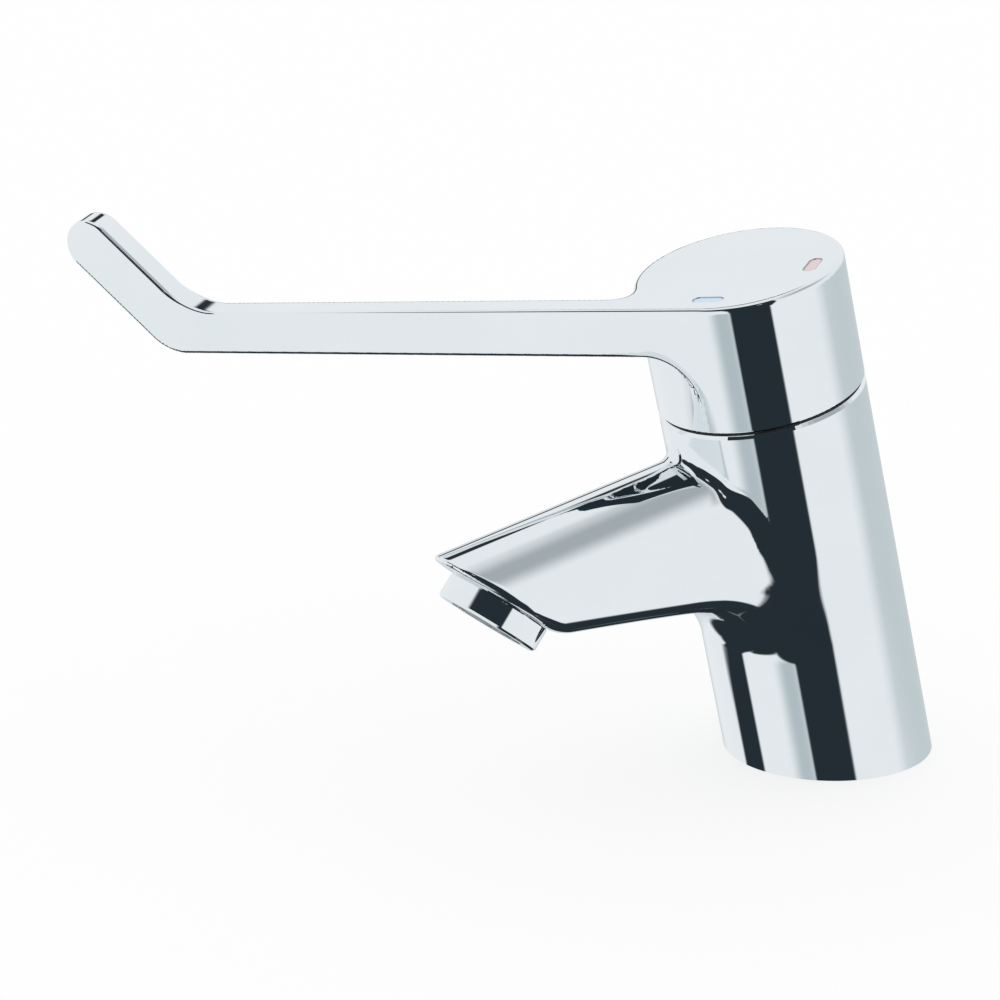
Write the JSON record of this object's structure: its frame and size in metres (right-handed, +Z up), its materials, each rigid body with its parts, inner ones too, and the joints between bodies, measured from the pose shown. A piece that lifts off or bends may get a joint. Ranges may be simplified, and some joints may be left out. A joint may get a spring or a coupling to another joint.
{
  "type": "elbow lever basin tap",
  "caption": "Deck-mounted basin tap with a leaning round body, a gabled spout, an aerator and a long elbow lever that turns on the body.",
  "frame": {"origin": "middle of the body's foot, on the deck surface", "axes": "+Z up from the deck, -Y along the spout towards the user, +X to the user's right"},
  "size_m": [0.1624, 0.1631, 0.1287],
  "materials": {
    "chrome_plate": "polished chromium plate",
    "cold_blue": "pale blue, glossy, darker at the rim",
    "hot_red": "pale red, glossy, darker at the rim",
    "black_rubber": "matte black",
    "moulded_grey": "moulded, matte",
    "outlet_grey": "moulded, pale grey",
    "white_slider": "white, smooth",
    "ceramic": "lapped ceramic, glossy",
    "turned_brass": "turned",
    "bright_steel": "stainless, fine"
  },
  "bodies": {
    "tap_body": {"body_casting": "chrome_plate", "base_seal": "black_rubber", "cartridge_base": "moulded_grey", "fixed_disc": "ceramic", "thrust_washer": "white_slider", "cartridge_housing": "moulded_grey", "cartridge_nut": "turned_brass", "glide_ring": "white_slider", "aerator_housing": "chrome_plate", "stream_former": "outlet_grey", "flow_regulator": "moulded_grey", "aerator_strainer": "bright_steel", "aerator_washer": "black_rubber", "port_seal_hot": "black_rubber", "port_seal_cold": "black_rubber", "port_seal_outlet": "black_rubber", "disc_seal_hot": "black_rubber", "disc_seal_cold": "black_rubber", "disc_seal_outlet": "black_rubber"},
    "handle": {"handle_casting": "chrome_plate", "handle_screw": "bright_steel", "screw_plug": "chrome_plate", "cold_mark": "cold_blue", "hot_mark": "hot_red", "spindle": "turned_brass", "spindle_seal_lower": "black_rubber", "spindle_seal_upper": "black_rubber", "spindle_clip": "bright_steel", "stop_ring": "moulded_grey", "disc_carrier": "moulded_grey", "moving_disc": "ceramic"}
  },
  "joints": [
    {"name": "handle_turn", "type": "hinge", "parent": "tap_body", "child": "handle", "pos_m": [0, 0, 0], "axis": [0, -0.2419, 0.9703], "range_deg": [0, 120]}
  ]
}
